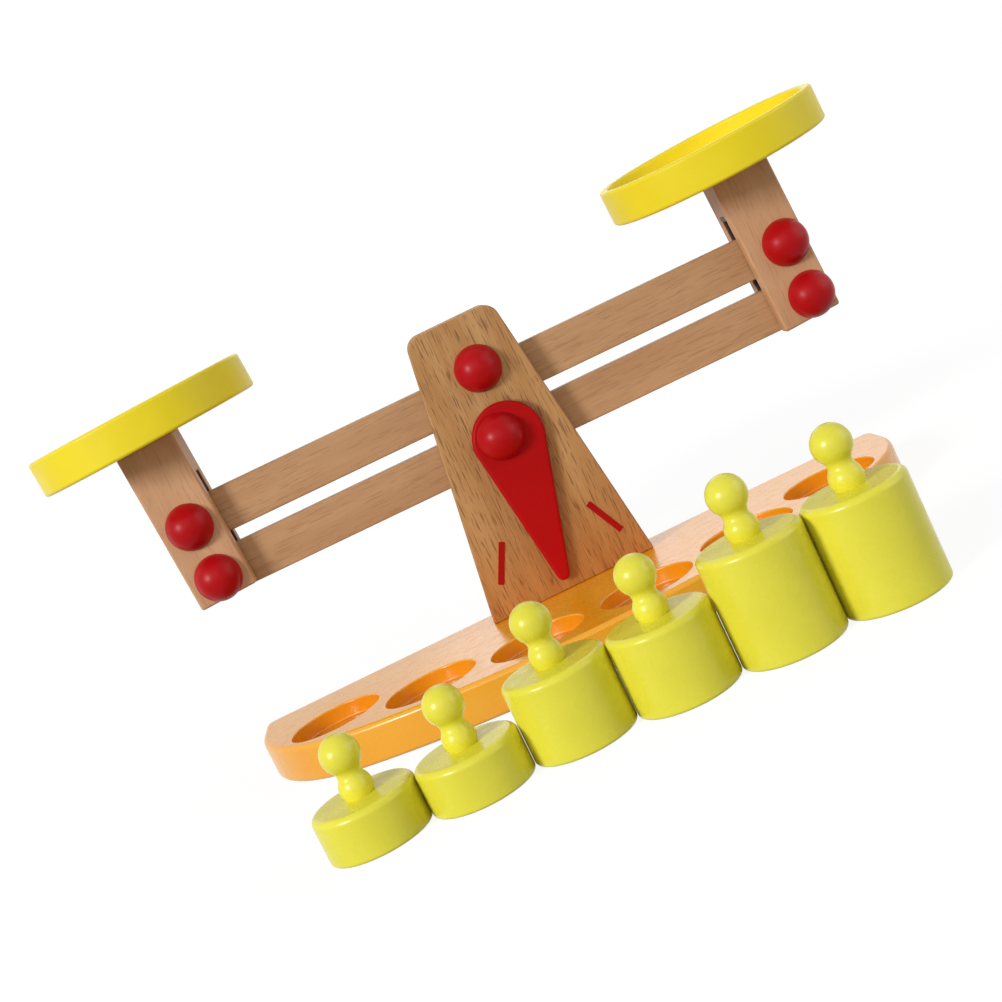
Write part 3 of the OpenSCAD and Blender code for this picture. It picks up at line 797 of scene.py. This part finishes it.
hand_over(base_board(), "base", ORANGE)
for node in ("front_panel", "back_panel"):
    hand_over(panel(node), node, PANEL_BEECH)
for node in ("lower_beam", "upper_beam"):
    hand_over(beam(node), node, BEAM_BEECH)
hand_over(pointer(), "pointer", MATT_RED)
for side in SIDES:
    hand_over(post(side), f"{side}_post", POST_BEECH)
    hand_over(pan(side), f"{side}_pan", YELLOW)
    hand_over(tick(side), f"{side}_tick", MARK_RED)
for node in sorted(frame["nodes"]):
    if node.endswith("_cap"):
        hand_over(cap(node), node, RED)
for number in WEIGHTS:
    hand_over(weight_body(f"weight_{number}_body"), f"weight_{number}_body", LIME)
    hand_over(weight_knob(f"weight_{number}_knob"), f"weight_{number}_knob", LIME)

# The nodes that stay as plain solids: the spacer, the screws, the pins and the dowels
PLAIN_FINISH = {"base_screws": ZINC, "panel_spacer": PANEL_BEECH}
for node, kept in frame["nodes"].items():
    if not kept.hide_render:
        kept.data.materials.clear()
        kept.data.materials.append(PLAIN_FINISH.get(node, PIN_BEECH))


# Studio

TOY_MIDDLE = Vector((0, -0.06, 0.09))
WHITE = (1, 1, 1, 1)
PAPER_NEAR = 0.30
PAPER_FAR = 0.90
PAPER_LIFT = 0.82
PAPER_GLOW = 1.07
PAPER_BOUNCE = (0.30, 0.30, 0.30, 1)
SENSOR_W_MM = 36.0


def seen_share(tree):
    """1 where the camera, a gloss or a clear material looks straight at the surroundings."""
    path = tree.nodes.new("ShaderNodeLightPath")
    either = path.outputs["Is Camera Ray"]
    for ray in ("Is Glossy Ray", "Is Transmission Ray"):
        node = tree.nodes.new("ShaderNodeMath")
        node.operation = "MAXIMUM"
        tree.links.new(either, node.inputs[0])
        tree.links.new(path.outputs[ray], node.inputs[1])
        either = node.outputs[0]
    return either


def white_room(ambient):
    """Even light from all round, which reads as white to the eye."""
    world = bpy.data.worlds.new("white_room")
    bpy.context.scene.world = world
    world.use_nodes = True
    tree = world.node_tree
    soft = tree.nodes["Background"]
    soft.inputs["Color"].default_value = WHITE
    soft.inputs["Strength"].default_value = ambient
    seen = tree.nodes.new("ShaderNodeBackground")
    seen.inputs["Color"].default_value = WHITE
    seen.inputs["Strength"].default_value = 1.0
    mix = tree.nodes.new("ShaderNodeMixShader")
    for index, value in enumerate((seen_share(tree), soft.outputs[0], seen.outputs[0])):
        tree.links.new(value, mix.inputs[index])
    tree.links.new(mix.outputs[0], tree.nodes["World Output"].inputs["Surface"])


def pale_floor(half):
    """White paper: it reads as white to the eye, keeps the toy's soft shadow and fades to plain white."""
    bm = bmesh.new()
    bmesh.ops.create_grid(bm, x_segments=1, y_segments=1, size=half)
    mesh = bpy.data.meshes.new("pale_floor")
    bm.to_mesh(mesh)
    bm.free()
    floor = bpy.data.objects.new("pale_floor", mesh)
    bpy.context.scene.collection.objects.link(floor)
    paper = Recipe("white_paper")
    away = paper.add("ShaderNodeVectorMath", {0: paper.place}, operation="LENGTH").outputs["Value"]
    lift = paper.ranged(away, PAPER_NEAR, PAPER_FAR, PAPER_LIFT, 1.0)
    glow = paper.add("ShaderNodeEmission", {"Color": WHITE, "Strength": PAPER_GLOW}).outputs[0]
    white = paper.add("ShaderNodeBsdfDiffuse", {"Color": WHITE}).outputs[0]
    bounce = paper.add("ShaderNodeBsdfDiffuse", {"Color": PAPER_BOUNCE}).outputs[0]
    seen = paper.add("ShaderNodeMixShader", {0: lift, 1: white, 2: glow}).outputs[0]
    share = seen_share(paper.tree)
    surface = paper.add("ShaderNodeMixShader", {0: share, 1: bounce, 2: seen}).outputs[0]
    paper.fill(paper.tree.nodes["Material Output"], {"Surface": surface})
    mesh.materials.append(paper.material)


def soft_box(name, place, size, power):
    """A square soft light that faces the middle of the toy."""
    light = bpy.data.lights.new(name, "AREA")
    light.size = size
    light.energy = power
    lamp = bpy.data.objects.new(name, light)
    bpy.context.scene.collection.objects.link(lamp)
    lamp.location = place
    lamp.rotation_euler = (TOY_MIDDLE - Vector(place)).to_track_quat("-Z", "Y").to_euler()


def camera(place, yaw, pitch, roll, lens):
    """The camera of the photograph: its place in metres, its turns in degrees and its lens in mm."""
    view = bpy.data.cameras.new("photo_camera")
    view.lens = lens
    view.sensor_width = SENSOR_W_MM
    stand = bpy.data.objects.new("photo_camera", view)
    bpy.context.scene.collection.objects.link(stand)
    turn = Matrix.Rotation(math.radians(yaw), 4, "Z") @ Matrix.Rotation(math.radians(90 - pitch), 4, "X")
    stand.matrix_world = Matrix.Translation(place) @ turn @ Matrix.Rotation(math.radians(roll), 4, "Z")
    bpy.context.scene.camera = stand


white_room(ambient=0.33)
pale_floor(half=6.0)
soft_box("window_light", place=(-2.21, -2.00, 1.13), size=0.76, power=64.0)
soft_box("front_light", place=(-0.50, -2.60, 1.30), size=2.00, power=11.0)
soft_box("fill_light", place=(1.55, -0.42, 0.50), size=1.40, power=9.5)
soft_box("back_light", place=(0.35, 1.60, 0.95), size=1.20, power=4.0)
camera(place=(-0.02223, -0.76806, 0.16935), yaw=-0.689, pitch=7.740, roll=-25.802, lens=61.263)
bpy.context.scene.view_settings.view_transform = "Standard"

bpy.context.view_layer.update()
